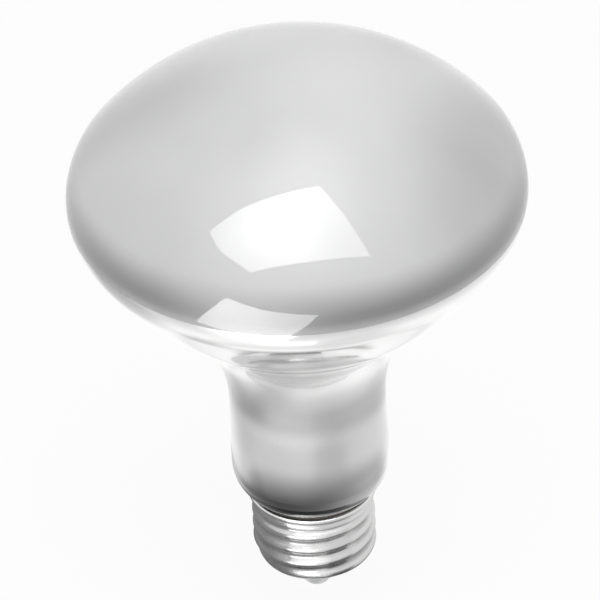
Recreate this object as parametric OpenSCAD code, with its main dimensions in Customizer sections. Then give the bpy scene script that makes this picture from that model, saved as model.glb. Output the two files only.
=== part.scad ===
// Reflector bulb: a blown bulb with a domed frosted face and a mirrored bowl and neck, held in a
// screw cap. It stands on the solder tip of its cap, with the axis along +Z and the face at the top.

/* [Bulb] */
// Widest diameter of the bulb
bulb_d = 95; // [85:1:108]
// Height of the domed face above the widest line
face_h = 29.5; // [20:0.5:34]
// Radius of the rounded rim between face and bowl
rim_r = 13.5; // [9:0.5:17]
// Angle that the rim turns under the widest line before the bowl takes over
rim_turn_a = 34; // [24:1:42]
// Angle of the bowl at its foot, where it turns into the neck
bowl_foot_a = 50; // [46:1:56]
// Radius of the hollow curve between bowl and neck
throat_r = 37; // [28:1:42]

/* [Neck] */
// Length of the straight neck between throat and shoulder
neck_len = 16.8; // [10:0.2:32]
// Diameter of the neck just under the throat
neck_d = 33.2; // [30:0.2:36]
// Diameter of the neck just over the shoulder
neck_foot_d = 33.6; // [31:0.1:35.5]
// Radius of the shoulder that turns in above the cap
shoulder_r = 8; // [5.5:0.5:9]
// Diameter of the sealed glass end inside the cap
seal_d = 22.6; // [19:0.2:22.8]
// Length of the glass inside the cap, from the bead of the rim to the flat end
seal_len = 10.4; // [8:0.2:11.4]
// Diameter of the sealed pumping tube on the end of the glass
pump_tube_d = 4.4; // [3:0.2:6]
// Length of the sealed pumping tube
pump_tube_len = 3.8; // [2:0.2:4.4]

/* [Screw cap] */
// Height of the cap from the solder tip to the top of the bead
cap_h = 28; // [27:0.1:30]
// Thickness of the metal sheet
sheet = 0.3; // [0.2:0.05:0.4]
// Radius of the rolled bead round the rim
bead_r = 0.6; // [0.45:0.05:0.8]
// Radius of the ring that the middle of the bead follows
bead_ring_r = 13.3; // [13.1:0.1:13.6]
// Outer radius of the plain skirt between bead and thread
skirt_r = 13; // [12.7:0.05:13.1]
// Height of the plain skirt
skirt_h = 1.2; // [0.8:0.1:1.6]
// Height of the groove between bead and skirt
groove_h = 1.5; // [0.9:0.1:2]
// Depth of the groove between bead and skirt
groove_depth = 0.3; // [0.1:0.05:0.4]
// Height of the shell's lower lip above the solder tip
lip_z = 10.1; // [9.5:0.1:10.7]
// Outer radius of the shell's lower lip
lip_r = 11.5; // [11:0.1:11.9]
// Height over which the shell widens from its lip to the root of the thread
lip_h = 1.3; // [0.8:0.1:1.6]

/* [Thread] */
// Outer diameter over the thread's crests
crest_d = 26.3; // [26.05:0.05:26.45]
// Diameter at the thread's roots
root_d = 24.5; // [24.26:0.02:24.66]
// Rise of the thread in one turn
pitch = 3.629; // [3.4:0.001:3.8]
// Radius of the rounded crest and root
knuckle_r = 1.025; // [0.85:0.025:1.05]
// Number of turns from the thread's start to its end
turns = 3.6; // [3:0.1:3.7]
// Angle round the axis from which the thread rises
start_a = 155; // [100:5:180]
// Part of a turn over which each end of the thread fades
fade_turns = 0.3; // [0.15:0.05:0.5]

/* [Contact] */
// Height of the solder tip under the contact plate
tip_h = 3.4; // [2.6:0.1:3.8]
// Radius of the solder tip at the contact plate
tip_r = 3.4; // [2.6:0.1:3.8]
// Radius of the small flat worn on the solder tip
tip_flat_r = 0.9; // [0.6:0.1:1.4]
// Radius of the contact plate
plate_r = 4.2; // [4:0.1:4.6]
// Thickness of the contact plate
plate_t = 0.5; // [0.3:0.1:0.6]
// Outer radius of the contact plate's eyelet tube
eyelet_r = 1.8; // [1.4:0.1:2.2]
// Wall of the eyelet tube
eyelet_wall = 0.35; // [0.25:0.05:0.5]
// Height of the eyelet tube above the contact plate
eyelet_h = 3; // [2:0.1:4]
// Radius of the insulator's nose round the contact plate
nose_r = 5; // [4.8:0.1:5.6]
// Depth of the dish in the insulator's upper face
dish_depth = 1.6; // [0.8:0.1:2]

/* [Leads and cement] */
// Diameter of the two lead wires
lead_d = 0.4; // [0.3:0.05:0.5]
// Distance from the axis at which each lead leaves the glass
lead_out = 6; // [4:0.2:8]
// Height of the band of cement under the bead
cement_h = 7; // [4:0.2:8]
// Gap that the cement fills between the bead and the glass
cement_gap = 0.45; // [0.4:0.05:0.6]
// Width of the slot that the side lead leaves in the cement
slot_w = 0.6; // [0.5:0.05:0.9]
// Radius of the drop of side solder
side_drop_r = 1; // [0.8:0.05:1.1]

/* [Hidden] */

// Clearance between pieces that seat on each other
fit = 0.03;
// Overrun of every cut
over = 1;
// Steps of a round stretch in an outline, and of a full turn
arc_steps = 14;
turn_steps = 48;
rows_per_turn = 8;
$fn = 96;

// The shoulder rests on the cement over the bead
bead_z = cap_h - bead_r;
neck_foot_r = neck_foot_d / 2;
shoulder_ring_r = neck_foot_r - shoulder_r;
shoulder_reach = shoulder_r + cement_gap + bead_r;
shoulder_z = bead_z + sqrt(pow(shoulder_reach, 2) - pow(bead_ring_r - shoulder_ring_r, 2));
seat_a = atan2(bead_z - shoulder_z, bead_ring_r - shoulder_ring_r);
seal_r = seal_d / 2;
seal_step = seal_r / 16;
seal_round = seal_r / 6;
shoulder_end_a = -acos((seal_r + seal_step - shoulder_ring_r) / shoulder_r);
shoulder_end_z = shoulder_z + shoulder_r * sin(shoulder_end_a);
seal_z = bead_z - seal_len;
pump_r = pump_tube_d / 2;

// The bowl's arc meets the throat at bowl_foot_a and the rim at rim_turn_a, tangent to both
bulb_r = bulb_d / 2;
neck_r = neck_d / 2;
throat_z = shoulder_z + neck_len;
rim_ring_r = bulb_r - rim_r;
rim_end_r = rim_ring_r + rim_r * cos(rim_turn_a);
bowl_foot_r = neck_r + throat_r * (1 - cos(bowl_foot_a));
bowl_r = (rim_end_r - bowl_foot_r) / (cos(rim_turn_a) - cos(bowl_foot_a));
bowl_centre = [rim_end_r - bowl_r * cos(rim_turn_a), throat_z + (bowl_r + throat_r) * sin(bowl_foot_a)];

// The widest line, and the domed face over it
wide_z = bowl_centre.y - (bowl_r - rim_r) * sin(rim_turn_a);
bulb_h = wide_z + face_h;
face_r = (pow(face_h, 2) + pow(rim_ring_r, 2) - pow(rim_r, 2)) / (2 * (face_h - rim_r));
face_z = bulb_h - face_r;
face_edge_a = atan2(wide_z - face_z, rim_ring_r);

// Cap
crest_r = crest_d / 2;
root_r = root_d / 2;
thread_z = lip_z + lip_h - pitch / 4;
groove_z = bead_z - bead_r - groove_h / 2;
skirt_top_z = groove_z - groove_h / 2;
skirt_foot_z = skirt_top_z - skirt_h / 2;
groove_r = skirt_r - groove_depth;
plate_z = tip_h;
nose_z = plate_z + plate_t;
body_z = lip_z + lip_h;
insulator_top_z = body_z + dish_depth;

// Points of an arc about a centre, from one angle to another
function arc(centre, r, a0, a1, steps = arc_steps) =
    [for (k = [0 : steps]) centre + r * [cos(a0 + (a1 - a0) * k / steps), sin(a0 + (a1 - a0) * k / steps)]];

// The glass, from the top of the face down to the sealed end in the cap
bulb_outline = concat(
    arc([0, face_z], face_r, 90, face_edge_a, 2 * arc_steps),
    arc([rim_ring_r, wide_z], rim_r, face_edge_a, 0),
    arc([rim_ring_r, wide_z], rim_r, 0, -rim_turn_a, arc_steps / 2),
    arc(bowl_centre, bowl_r, -rim_turn_a, -bowl_foot_a),
    arc([neck_r + throat_r, throat_z], throat_r, 180 - bowl_foot_a, 180),
    arc([shoulder_ring_r, shoulder_z], shoulder_r, 0, shoulder_end_a),
    [[seal_r, shoulder_end_z - seal_step]],
    arc([seal_r - seal_round, seal_z + seal_round], seal_round, 0, -90, 4),
    [[pump_r, seal_z]],
    arc([0, seal_z - pump_tube_len + pump_r], pump_r, 0, -90, 6)
);

module glass_bulb() {
    color([0.86, 0.87, 0.88])
        rotate_extrude() polygon(bulb_outline);
}

// Radius of the knuckle thread at an axial distance from its crest: a round crest and a round root
// joined by the straight line that touches both
crest_ring_r = crest_r - knuckle_r;
root_ring_r = root_r + knuckle_r;
knuckle_reach = norm([pitch / 2, root_ring_r - crest_ring_r]);
flank_a = atan2(root_ring_r - crest_ring_r, pitch / 2) + acos(min(1, 2 * knuckle_r / knuckle_reach));
flank_u = knuckle_r * cos(flank_a);
flank_r = crest_ring_r + knuckle_r * sin(flank_a);
foot_u = pitch / 2 - flank_u;
foot_r = root_ring_r - knuckle_r * sin(flank_a);
function knuckle(u) =
    u < flank_u ? crest_ring_r + sqrt(pow(knuckle_r, 2) - pow(u, 2)) :
    u > foot_u ? root_ring_r - sqrt(pow(knuckle_r, 2) - pow(pitch / 2 - u, 2)) :
    flank_r + (foot_r - flank_r) * (u - flank_u) / (foot_u - flank_u);

// Smooth rise from 0 to 1
function ease(t) = t <= 0 ? 0 : t >= 1 ? 1 : t * t * (3 - 2 * t);

// Height of the thread over its root at a height z and an angle, with both ends faded out
function ridge(z, a) =
    let (
        past = (a - start_a + 360) % 360 / 360,
        along = (z - thread_z) / pitch - past,
        whole = round(along),
        turn = whole + past - fade_turns / 2,
        fade = ease(turn / fade_turns) * ease((turns - turn) / fade_turns)
    )
    fade * (knuckle(abs(along - whole) * pitch) - root_r);

// The shell's own outline without its thread: lip, threaded body, skirt and groove
thread_rows = round((skirt_foot_z - skirt_h / 2 - body_z) / pitch * rows_per_turn);
row_h = (skirt_foot_z - skirt_h / 2 - body_z) / thread_rows;
shell_rows = concat(
    [[lip_r, lip_z], [(lip_r + root_r) / 2, lip_z + lip_h / 3]],
    [for (k = [0 : thread_rows]) [root_r, body_z + k * row_h]],
    [[skirt_r, skirt_foot_z], [skirt_r, skirt_top_z], [groove_r, groove_z]]
);
bead_open_a = -120;
bead_rows = arc([bead_ring_r, bead_z], bead_r, bead_open_a, 180, 9);
shell_loop = concat(
    [for (row = shell_rows) [row.x, row.y, 1]],
    [for (row = bead_rows) [row.x, row.y, 0]],
    [for (k = [len(shell_rows) - 1 : -1 : 0]) [shell_rows[k].x - sheet, shell_rows[k].y, 1]]
);

// The closed outline of the sheet is carried round the axis, and its threaded rows follow the helix
module screw_shell() {
    rows = len(shell_loop);
    points = [
        for (row = shell_loop, k = [0 : turn_steps - 1])
            let (a = 360 * k / turn_steps, r = row.x + row.z * ridge(row.y, a))
            [r * cos(a), r * sin(a), row.y]
    ];
    faces = [
        for (j = [0 : rows - 1], k = [0 : turn_steps - 1])
            let (
                below = j * turn_steps,
                above = ((j + 1) % rows) * turn_steps,
                next = (k + 1) % turn_steps
            )
            each [[below + k, above + k, above + next], [below + k, above + next, below + next]]
    ];
    color([0.78, 0.78, 0.76])
        polyhedron(points, faces, convexity = 8);
}

// The insulator fills the shell's lower end and carries the contact plate on its nose
shell_flat = cos(180 / turn_steps);
insulator_r = (root_r - sheet) * shell_flat - fit;
insulator_lip_r = (lip_r - sheet) * shell_flat - fit;
insulator_hole_r = eyelet_r + fit;
module insulator() {
    color([0.08, 0.08, 0.09])
        rotate_extrude()
            polygon([
                [insulator_hole_r, nose_z],
                [nose_r, nose_z],
                [insulator_lip_r, lip_z],
                [insulator_lip_r, lip_z + fit],
                [insulator_r, body_z],
                [insulator_r, insulator_top_z],
                [insulator_r - dish_depth, insulator_top_z],
                [insulator_r - 2 * dish_depth, insulator_top_z - dish_depth],
                [insulator_hole_r, insulator_top_z - dish_depth]
            ]);
}

// The contact plate is a brass disc with an eyelet tube that the centre lead comes through
eyelet_bore_r = eyelet_r - eyelet_wall;
module contact_plate() {
    color([0.8, 0.66, 0.36])
        rotate_extrude()
            polygon([
                [eyelet_bore_r, plate_z],
                [plate_r, plate_z],
                [plate_r, nose_z],
                [eyelet_r, nose_z],
                [eyelet_r, nose_z + eyelet_h],
                [eyelet_bore_r, nose_z + eyelet_h]
            ]);
}

// The solder tip: a drop that hangs from the plate and ends in a small flat
tip_steps = 10;
function tip_curve(t) =
    pow(1 - t, 2) * [tip_r, tip_h] + 2 * t * (1 - t) * [tip_r, tip_h / 3] + t * t * [tip_flat_r, 0];
module centre_solder() {
    color([0.72, 0.73, 0.75])
        rotate_extrude()
            polygon(concat([[0, tip_h]], [for (k = [0 : tip_steps]) tip_curve(k / tip_steps)], [[0, 0]]));
}

// The cement fills the space between glass and shell, and comes up between shoulder and bead
cement_in_r = seal_r + fit;
cement_out_r = insulator_r;
module cement_outline() {
    glass_side = arc([shoulder_ring_r, shoulder_z], shoulder_r + fit, shoulder_end_a, seat_a, 6);
    bead_side = arc([bead_ring_r, bead_z], bead_r + fit, 180 + seat_a, 180, 6);
    polygon(concat(
        [[cement_out_r, bead_z - cement_h], [cement_in_r, bead_z - cement_h]],
        [[cement_in_r, shoulder_end_z - seal_step]],
        glass_side,
        bead_side,
        [[cement_out_r, bead_z - bead_r]]
    ));
}
module cement_ring() {
    color([0.8, 0.78, 0.7])
        difference() {
            rotate_extrude() cement_outline();
            translate([-slot_w / 2, 0, bead_z - cement_h - over])
                cube([slot_w, bead_ring_r + bead_r, cement_h + shoulder_r]);
        }
}

// A round wire along a path of [out, up] points, in the plane that holds the axis and the angle a.
// Each ring of points stands on the line that halves its bend
wire_sides = 8;
function unit(v) = v / norm(v);
function wire_side(path, k) =
    let (
        before = path[k] - path[max(0, k - 1)],
        after = path[min(len(path) - 1, k + 1)] - path[k],
        run = unit(k == 0 ? after : before),
        run_on = unit(k == len(path) - 1 ? before : after),
        mean = unit(run + run_on)
    )
    [mean.y, -mean.x] / (mean * run);
module wire(path, a) {
    last = len(path) - 1;
    points = [
        for (k = [0 : last], j = [0 : wire_sides - 1])
            let (
                t = 360 * j / wire_sides,
                p = path[k] + wire_side(path, k) * lead_d / 2 * cos(t)
            )
            [p.x, lead_d / 2 * sin(t), p.y]
    ];
    walls = [
        for (k = [0 : last - 1], j = [0 : wire_sides - 1])
            let (i = k * wire_sides, n = (j + 1) % wire_sides)
            [i + j, i + n, i + n + wire_sides, i + j + wire_sides]
    ];
    ends = [
        [for (j = [wire_sides - 1 : -1 : 0]) j],
        [for (j = [0 : wire_sides - 1]) last * wire_sides + j]
    ];
    rotate(a) polyhedron(points, concat(walls, ends), convexity = 4);
}

// The centre lead drops from the glass, turns in under the pumping tube and enters the eyelet
pump_end_z = seal_z - pump_tube_len;
bend_z = (pump_end_z + insulator_top_z - dish_depth) / 2;
module centre_lead() {
    color([0.75, 0.5, 0.35])
        wire([[lead_out, seal_z], [lead_out, bend_z + lead_d], [0, bend_z], [0, plate_z]], 180);
}

// The side lead turns up beside the glass and runs through the cement over the bead
slot_r = (cement_in_r + cement_out_r) / 2;
over_r = bead_r + cement_gap / 2;
lead_start_a = 160;
lead_end_a = 40;
side_path = concat(
    [
        [lead_out, seal_z],
        [lead_out, seal_z - 4 * lead_d],
        [slot_r, seal_z - 2 * lead_d],
        [slot_r, bead_z - bead_r]
    ],
    arc([bead_ring_r, bead_z], over_r, lead_start_a, lead_end_a, 8)
);
module side_lead() {
    color([0.75, 0.5, 0.35]) wire(side_path, 90);
}

// The side solder is a drop outside the bead, and the end of the side lead lies in its groove
module side_solder() {
    groove_w = lead_d + 2 * fit;
    groove_foot_z = bead_z + over_r * sin(lead_end_a) - groove_w / 2;
    color([0.72, 0.73, 0.75])
        difference() {
            translate([0, bead_ring_r + bead_r, bead_z]) sphere(r = side_drop_r, $fn = 32);
            rotate_extrude() polygon(arc([bead_ring_r, bead_z], bead_r + fit, 0, 360, 24));
            translate([-groove_w / 2, bead_ring_r - bead_r, groove_foot_z])
                cube([groove_w, 2 * bead_r + over_r, bead_r + over]);
        }
}

glass_bulb();
screw_shell();
insulator();
contact_plate();
centre_solder();
cement_ring();
centre_lead();
side_lead();
side_solder();
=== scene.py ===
from math import acos, asin, atan2, cos, floor, hypot, pi, radians, sin, sqrt

import bmesh
import bpy
from bpy.props import FloatProperty, FloatVectorProperty, IntProperty, PointerProperty
from mathutils import Matrix, Vector


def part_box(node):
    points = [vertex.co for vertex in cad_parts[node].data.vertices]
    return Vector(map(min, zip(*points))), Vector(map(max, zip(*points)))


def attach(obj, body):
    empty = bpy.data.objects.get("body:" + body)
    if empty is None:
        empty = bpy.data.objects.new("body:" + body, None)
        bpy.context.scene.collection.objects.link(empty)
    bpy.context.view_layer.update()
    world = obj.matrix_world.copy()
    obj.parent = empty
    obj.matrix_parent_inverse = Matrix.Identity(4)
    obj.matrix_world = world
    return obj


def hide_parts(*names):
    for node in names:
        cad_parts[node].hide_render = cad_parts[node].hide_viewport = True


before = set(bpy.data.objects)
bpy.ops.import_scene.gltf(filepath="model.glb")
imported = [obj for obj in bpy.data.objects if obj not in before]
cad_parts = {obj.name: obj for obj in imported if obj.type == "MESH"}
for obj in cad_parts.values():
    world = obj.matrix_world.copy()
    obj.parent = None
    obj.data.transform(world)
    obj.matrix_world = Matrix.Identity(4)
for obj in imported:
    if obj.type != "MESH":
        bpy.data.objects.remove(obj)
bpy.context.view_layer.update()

bl_info = {
    "name": "Reflector bulb",
    "version": (1, 0, 0),
    "blender": (4, 5, 0),
    "location": "3D View > Sidebar > Bulb",
    "description": "Models a mirrored reflector bulb with its screw cap, on a plain pale floor",
    "category": "Add Mesh",
}

MM = 0.001
GLASS_LOW, GLASS_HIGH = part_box("glass_bulb")
SHELL_LOW, SHELL_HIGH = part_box("screw_shell")
PLATE_LOW, PLATE_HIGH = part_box("contact_plate")
TIP_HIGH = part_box("centre_solder")[1]
INSULATOR_LOW, INSULATOR_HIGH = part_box("insulator")


# Sizes and finishes that a user would change

def length(name, description, default, low, high):
    return FloatProperty(name=name, description=description, default=default, min=low, max=high,
                         unit="LENGTH", precision=5)


def turn(name, description, default, low, high):
    return FloatProperty(name=name, description=description, default=radians(default),
                         min=radians(low), max=radians(high), subtype="ANGLE")


def colour(name, description, default):
    return FloatVectorProperty(name=name, description=description, default=default, size=3,
                               min=0, max=1, subtype="COLOR")


def share(name, description, default, high=1.0):
    return FloatProperty(name=name, description=description, default=default, min=0, max=high)


class BulbSizes(bpy.types.PropertyGroup):
    bulb_radius: length("Bulb radius", "Radius of the bulb at its widest line",
                        GLASS_HIGH.y, 0.03, 0.07)
    bulb_top: length("Top of the face", "Height of the face above the solder tip",
                     GLASS_HIGH.z, 0.1, 0.2)
    face_rise: length("Rise of the face", "Height of the domed face above the widest line",
                      29.5 * MM, 0.02, 0.04)
    rim_radius: length("Rim radius", "Radius of the rounded rim between face and bowl",
                       13.5 * MM, 0.008, 0.02)
    rim_turn: turn("Turn of the rim", "Angle that the rim turns under the widest line",
                   34, 20, 45)
    bowl_foot: turn("Foot of the bowl", "Angle of the bowl where it turns into the neck",
                    50, 46, 60)
    throat_radius: length("Throat radius", "Radius of the hollow curve between bowl and neck",
                          37 * MM, 0.025, 0.045)
    neck_radius: length("Neck radius", "Radius of the neck under the throat",
                        16.6 * MM, 0.014, 0.02)
    neck_foot_radius: length("Neck foot radius", "Radius of the neck over the shoulder",
                             16.8 * MM, 0.014, 0.02)
    shoulder_radius: length("Shoulder radius", "Radius of the shoulder above the cap",
                            8 * MM, 0.005, 0.01)
    cement_gap: length("Cement gap", "Gap between the shoulder and the bead of the cap",
                       0.45 * MM, 0.0002, 0.001)
    mirror_top: length("Top of the mirror", "Height at which the mirror coating ends",
                       GLASS_HIGH.z - 30.8 * MM, 0.09, 0.12)
    seal_radius: length("Seal radius", "Radius of the glass inside the cap",
                        11.3 * MM, 0.009, 0.0115)
    seal_end: length("End of the seal", "Height of the flat end of the glass inside the cap",
                     GLASS_LOW.z + 3.8 * MM, 0.012, 0.022)
    pump_radius: length("Pumping tube radius", "Radius of the sealed pumping tube",
                        2.2 * MM, 0.001, 0.003)
    glass_turn_steps: IntProperty(name="Steps round the glass", default=192, min=48, max=256,
                                  description="Number of steps of the glass round its axis")


class CapSizes(bpy.types.PropertyGroup):
    bead_radius: length("Bead radius", "Radius of the rolled bead", 0.6 * MM, 0.0003, 0.001)
    bead_height: length("Bead height", "Height of the middle of the rolled bead",
                        SHELL_HIGH.z - 0.6 * MM, 0.02, 0.03)
    bead_ring: length("Bead ring", "Radius of the ring that the bead follows",
                      13.3 * MM, 0.012, 0.014)
    skirt_radius: length("Skirt radius", "Radius of the plain skirt under the bead",
                         13 * MM, 0.012, 0.014)
    skirt_rise: length("Skirt height", "Height of the plain skirt", 1.2 * MM, 0.0008, 0.0016)
    groove_rise: length("Groove height", "Height of the groove between bead and skirt",
                        1.5 * MM, 0.0009, 0.002)
    groove_depth: length("Groove depth", "Depth of the groove between bead and skirt",
                         0.3 * MM, 0.0001, 0.0004)
    crest_radius: length("Crest radius", "Radius over the crests of the thread",
                         13.15 * MM, 0.013, 0.0135)
    root_radius: length("Root radius", "Radius at the roots of the thread",
                        12.25 * MM, 0.012, 0.0125)
    pitch: length("Pitch", "Rise of the thread in one turn", 3.629 * MM, 0.003, 0.004)
    knuckle: length("Knuckle", "Radius of the round crests and roots",
                    1.025 * MM, 0.0008, 0.0011)
    turns: FloatProperty(name="Turns", description="Turns of the thread",
                         default=3.6, min=2, max=4)
    thread_start: turn("Thread start", "Angle round the axis from which the thread rises",
                       155, 0, 360)
    fade: FloatProperty(name="Fade", description="Part of a turn over which the thread fades out",
                        default=0.3, min=0.1, max=0.6)
    sheet: length("Sheet", "Thickness of the metal sheet", 0.3 * MM, 0.0002, 0.0005)
    lip_radius: length("Lip radius", "Radius of the lower lip of the shell",
                       11.5 * MM, 0.01, 0.012)
    lip_rise: length("Lip rise", "Height over which the lip widens to the thread",
                     1.3 * MM, 0.001, 0.002)
    cap_turn_steps: IntProperty(name="Steps round the cap", default=192, min=48, max=256,
                                description="Number of steps of the cap round its axis")


class BulbFinish(bpy.types.PropertyGroup):
    frost: colour("Frosted face", "Colour of the frosted face", (0.78, 0.782, 0.785))
    rim_shade: colour("Rim band", "Colour of the dark band where face and mirror meet",
                      (0.32, 0.32, 0.322))
    rim_foot: colour("Foot of the band", "Colour of the band where it meets the mirror",
                     (0.58, 0.58, 0.582))
    mirror_edge: colour("Mirror edge", "Colour of the mirror coating at its thin upper edge",
                        (0.68, 0.68, 0.68))
    mirror: colour("Mirror", "Colour of the mirror coating on the bowl", (0.96, 0.96, 0.955))
    neck: colour("Neck", "Colour of the thinner coating on the neck", (0.58, 0.58, 0.58))
    waist: colour("Waist", "Colour of the coating where it is thinnest, at the throat",
                  (0.43, 0.43, 0.43))
    bare_glass: colour("Bare glass", "Colour at the shoulder, where the coating runs out",
                       (0.1, 0.1, 0.102))
    cap_metal: colour("Cap metal", "Colour of the plated sheet of the cap", (0.74, 0.74, 0.737))
    # Also the colour of the painted shade in the groove under the bead
    cap_grime_and_shade: colour("Cap grime", "Colour of the dirt in the roots of the thread",
                      (0.15, 0.149, 0.146))
    insulator: colour("Insulator", "Colour of the black glass", (0.012, 0.012, 0.014))
    contact: colour("Contact plate", "Colour of the brass contact plate", (0.72, 0.5, 0.2))
    solder: colour("Solder", "Colour of the solder", (0.74, 0.745, 0.755))
    cement: colour("Cement", "Colour of the cement", (0.3, 0.27, 0.22))
    wire: colour("Lead wire", "Colour of the lead wires", (0.6, 0.42, 0.3))


class StudioSettings(bpy.types.PropertyGroup):
    floor: colour("Floor", "Colour of the floor", (0.9, 0.9, 0.9))
    room: share("Room light", "Strength of the even light of the room", 0.3, 2)
    ceiling: share("Ceiling panel", "Strength of the broad panel that lights the bulb", 4.0, 30)
    key: share("Overhead softbox", "Strength of the softbox seen in the face", 8.2, 30)
    front: share("Front softbox", "Strength of the low softbox in front", 9.5, 30)
    stripe: share("Front card", "Brightness of the card that the cap reflects", 1.25, 5)
    distance: length("Camera distance", "Distance from the camera to the bulb", 1.15, 0.5, 3)
    elevation: turn("Camera elevation", "Angle of the camera above the horizon", 37.5, 0, 80)
    lean: turn("Camera lean", "Angle that the camera leans to its right", 3.01, -10, 10)
    lens: FloatProperty(name="Focal length", description="Focal length of the camera in mm",
                        default=330.7, min=50, max=600, subtype="DISTANCE_CAMERA")


# Nodes

def add(tree, kind, inputs=None, **settings):
    """Adds a node, gives it its settings, and fills or links its inputs."""
    made = tree.nodes.new("ShaderNode" + kind)
    for name, value in settings.items():
        setattr(made, name, value)
    for name, value in (inputs or {}).items():
        if isinstance(value, bpy.types.NodeSocket):
            tree.links.new(value, made.inputs[name])
        else:
            made.inputs[name].default_value = value
    return made


def calculate(tree, operation, a, b=0.0):
    return add(tree, "Math", {0: a, 1: b}, operation=operation).outputs[0]


def times(tree, a, b):
    return calculate(tree, "MULTIPLY", a, b)


def plus(tree, a, b):
    return calculate(tree, "ADD", a, b)


def on_vector(tree, operation, a, b=(0, 0, 0), result="Vector"):
    return add(tree, "VectorMath", {0: a, 1: b}, operation=operation).outputs[result]


def object_place(tree):
    return add(tree, "TexCoord").outputs["Object"]


def off_axis(tree):
    """The place on the object without its height: where it lies off the bulb's axis."""
    return on_vector(tree, "MULTIPLY", object_place(tree), (1, 1, 0))


def ramp(tree, value, low, high, start=0.0, end=1.0):
    """A smooth rise from start to end while the value goes from low to high."""
    return add(tree, "MapRange", {"Value": value, "From Min": low, "From Max": high,
                                  "To Min": start, "To Max": end},
               interpolation_type="SMOOTHSTEP").outputs["Result"]


def blended(tree, amount, a, b):
    """Colour a, taken towards colour b by an amount from 0 to 1."""
    a, b = (c if isinstance(c, bpy.types.NodeSocket) else (*c[:3], 1) for c in (a, b))
    return add(tree, "Mix", {0: amount, 6: a, 7: b}, data_type="RGBA").outputs[2]


def effect(name, inputs, outputs):
    """A node group with its named inputs and outputs, and the two nodes at its ends."""
    group = bpy.data.node_groups.new(name, "ShaderNodeTree")
    for label, value in inputs:
        group.interface.new_socket(label, in_out="INPUT",
                                   socket_type="NodeSocketFloat").default_value = value
    for label in outputs:
        group.interface.new_socket(label, in_out="OUTPUT", socket_type="NodeSocketFloat")
    given = group.nodes.new("NodeGroupInput").outputs
    return group, given, group.nodes.new("NodeGroupOutput").inputs


def use(tree, name, **values):
    """Places a shared effect in a material with its own values."""
    return add(tree, "Group", values, node_tree=bpy.data.node_groups[name]).outputs


def height_fade():
    """How far a point lies between two heights, from 0 to 1."""
    group, given, result = effect("Height fade", [("Low", 0.0), ("High", 0.01)], ["Share"])
    z = add(group, "SeparateXYZ", {0: object_place(group)}).outputs["Z"]
    group.links.new(ramp(group, z, given["Low"], given["High"]), result["Share"])


def cloudiness():
    """Soft patches, from 0 to 1, with a choice of size and place."""
    group, given, result = effect("Cloudiness", [("Size", 0.03), ("Offset", 0.0)], ["Patches"])
    moved = on_vector(group, "ADD", object_place(group), given["Offset"])
    scale = calculate(group, "DIVIDE", 1.0, given["Size"])
    noise = add(group, "TexNoise", {"Vector": moved, "Scale": scale, "Detail": 1.5,
                                    "Roughness": 0.45})
    group.links.new(ramp(group, noise.outputs["Fac"], 0.3, 0.7), result["Patches"])


def fine_grain():
    """An even fine grain and sparse specks."""
    group, given, result = effect("Fine grain", [("Size", 0.0003)], ["Height", "Specks"])
    place = object_place(group)
    scale = calculate(group, "DIVIDE", 1.0, given["Size"])
    noise = add(group, "TexNoise", {"Vector": place, "Scale": scale, "Detail": 2.0})
    coarse = times(group, scale, 0.2)
    spots = add(group, "TexNoise", {"Vector": place, "Scale": coarse, "Detail": 3.0})
    group.links.new(noise.outputs["Fac"], result["Height"])
    group.links.new(ramp(group, spots.outputs["Fac"], 0.62, 0.75), result["Specks"])


def turned_marks():
    """Fine scratches that run round the axis, as a cap gets from its socket."""
    group, given, result = effect(
        "Turned marks", [("Height", 0.0003), ("Length", 0.01), ("Slant", 0.0)],
        ["Marks", "Rubbed"])
    place = object_place(group)
    axes = add(group, "SeparateXYZ", {0: place}).outputs
    angle = calculate(group, "ARCTAN2", axes["Y"], axes["X"])
    lean = times(group, axes["Z"], given["Slant"])
    arc = plus(group, times(group, angle, 13 * MM), lean)
    arc = calculate(group, "DIVIDE", arc, given["Length"])
    level = calculate(group, "DIVIDE", axes["Z"], given["Height"])
    spread = add(group, "CombineXYZ", {0: arc, 1: level, 2: 0.0}).outputs[0]
    noise = add(group, "TexNoise", {"Vector": spread, "Scale": 1.0, "Detail": 4.0,
                                    "Roughness": 0.6})
    wide = add(group, "TexNoise", {"Vector": place, "Scale": 180.0, "Detail": 3.0})
    group.links.new(noise.outputs["Fac"], result["Marks"])
    group.links.new(ramp(group, wide.outputs["Fac"], 0.4, 0.65), result["Rubbed"])


def ring_depth():
    """How far a point lies between two distances from the axis, from 0 outside to 1 inside."""
    group, given, result = effect("Ring depth", [("Outer", 0.013), ("Inner", 0.012)], ["Share"])
    reach = on_vector(group, "LENGTH", off_axis(group), result="Value")
    group.links.new(ramp(group, reach, given["Outer"], given["Inner"]), result["Share"])


def soft_spot():
    """A round spot seen along the axis, 1 in its middle and 0 at its reach."""
    group, given, result = effect("Soft spot", [("X", 0.0), ("Y", 0.0), ("Reach", 0.01)],
                                  ["Share"])
    middle = add(group, "CombineXYZ", {0: given["X"], 1: given["Y"]}).outputs[0]
    off = on_vector(group, "DISTANCE", off_axis(group), middle, "Value")
    group.links.new(ramp(group, off, 0.0, given["Reach"], 1.0, 0.0), result["Share"])


def shared_effects():
    for make in (height_fade, cloudiness, fine_grain, turned_marks, ring_depth, soft_spot):
        make()


def material(name):
    made = bpy.data.materials.new(name)
    made.use_nodes = True
    return made, made.node_tree, made.node_tree.nodes["Principled BSDF"]


def bump(tree, height, strength, distance):
    return add(tree, "Bump", {"Height": height, "Strength": strength,
                              "Distance": distance}).outputs["Normal"]


def dress(tree, shader, tone, rough, normal, metallic=0.0):
    """Gives a shader its colour, roughness and bump, and its share of metal."""
    for name, socket in (("Base Color", tone), ("Roughness", rough), ("Normal", normal)):
        tree.links.new(socket, shader.inputs[name])
    shader.inputs["Metallic"].default_value = metallic


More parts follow.
